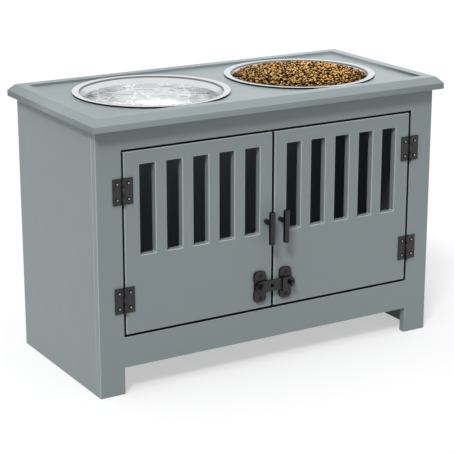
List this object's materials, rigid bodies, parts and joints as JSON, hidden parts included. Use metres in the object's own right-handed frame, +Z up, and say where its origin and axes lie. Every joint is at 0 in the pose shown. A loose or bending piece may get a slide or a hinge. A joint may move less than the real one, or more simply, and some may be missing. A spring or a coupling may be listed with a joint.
{
  "type": "elevated dog feeder with storage",
  "caption": "Raised feeding station: a painted cabinet with slotted hinged doors, a flip latch and round lift-out bowls set in a rimmed top board.",
  "frame": {"origin": "on the floor, under the middle of the overall box, which runs from the handles to the rear edge of the top board", "axes": "+Z up, the doors face -Y, +X to the right of someone facing the doors"},
  "size_m": [0.6, 0.3012, 0.415],
  "materials": {
    "painted_board": "satin grey-blue paint",
    "black_hardware": "satin black",
    "bowl_steel": "polished stainless steel",
    "zinc_fastener": "zinc plated",
    "raw_wood": "bare wood"
  },
  "bodies": {
    "cabinet": {"side_panel_left": "painted_board", "side_panel_right": "painted_board", "bottom_panel": "painted_board", "back_panel": "painted_board", "front_stile_left": "painted_board", "front_stile_right": "painted_board", "top_rail": "painted_board", "lower_rail": "painted_board", "top_board": "painted_board", "corner_blocks": "raw_wood", "top_screws": "zinc_fastener", "frame_dowels": "raw_wood", "cam_locks": "zinc_fastener", "cam_bolts": "zinc_fastener", "door_stop": "raw_wood", "hinge_leaf_frame_left_upper": "black_hardware", "hinge_leaf_frame_left_lower": "black_hardware", "hinge_leaf_frame_right_upper": "black_hardware", "hinge_leaf_frame_right_lower": "black_hardware", "hinge_pin_left_upper": "black_hardware", "hinge_pin_left_lower": "black_hardware", "hinge_pin_right_upper": "black_hardware", "hinge_pin_right_lower": "black_hardware", "hinge_screws_frame": "black_hardware"},
    "door_left": {"door_left": "painted_board", "hinge_leaf_door_left_upper": "black_hardware", "hinge_leaf_door_left_lower": "black_hardware", "hinge_screws_door_left": "black_hardware", "handle_bar_left": "black_hardware", "handle_post_left": "black_hardware", "handle_screw_left": "zinc_fastener", "latch_plate": "black_hardware", "latch_pivot_pin": "black_hardware", "latch_screws_left": "black_hardware"},
    "door_right": {"door_right": "painted_board", "hinge_leaf_door_right_upper": "black_hardware", "hinge_leaf_door_right_lower": "black_hardware", "hinge_screws_door_right": "black_hardware", "handle_bar_right": "black_hardware", "handle_post_right": "black_hardware", "handle_screw_right": "zinc_fastener", "latch_keeper": "black_hardware", "latch_screws_right": "black_hardware"},
    "latch_arm": {"latch_arm": "black_hardware", "latch_knob": "black_hardware"},
    "bowl_left": {"bowl_left": "bowl_steel"},
    "bowl_right": {"bowl_right": "bowl_steel"}
  },
  "joints": [
    {"name": "door_left_hinge", "type": "hinge", "parent": "cabinet", "child": "door_left", "pos_m": [-0.2495, -0.13055, 0.0905], "axis": [0, 0, -1], "range_deg": [0, 170]},
    {"name": "door_right_hinge", "type": "hinge", "parent": "cabinet", "child": "door_right", "pos_m": [0.2495, -0.13055, 0.0905], "axis": [0, 0, 1], "range_deg": [0, 170]},
    {"name": "latch_arm_swing", "type": "hinge", "parent": "door_left", "child": "latch_arm", "pos_m": [-0.024, -0.13425, 0.126], "axis": [0, -1, 0], "range_deg": [0, 170]},
    {"name": "bowl_left_lift", "type": "slide", "parent": "cabinet", "child": "bowl_left", "axis": [0, 0, 1], "range_m": [0, 0.085]},
    {"name": "bowl_right_lift", "type": "slide", "parent": "cabinet", "child": "bowl_right", "axis": [0, 0, 1], "range_m": [0, 0.085]}
  ]
}
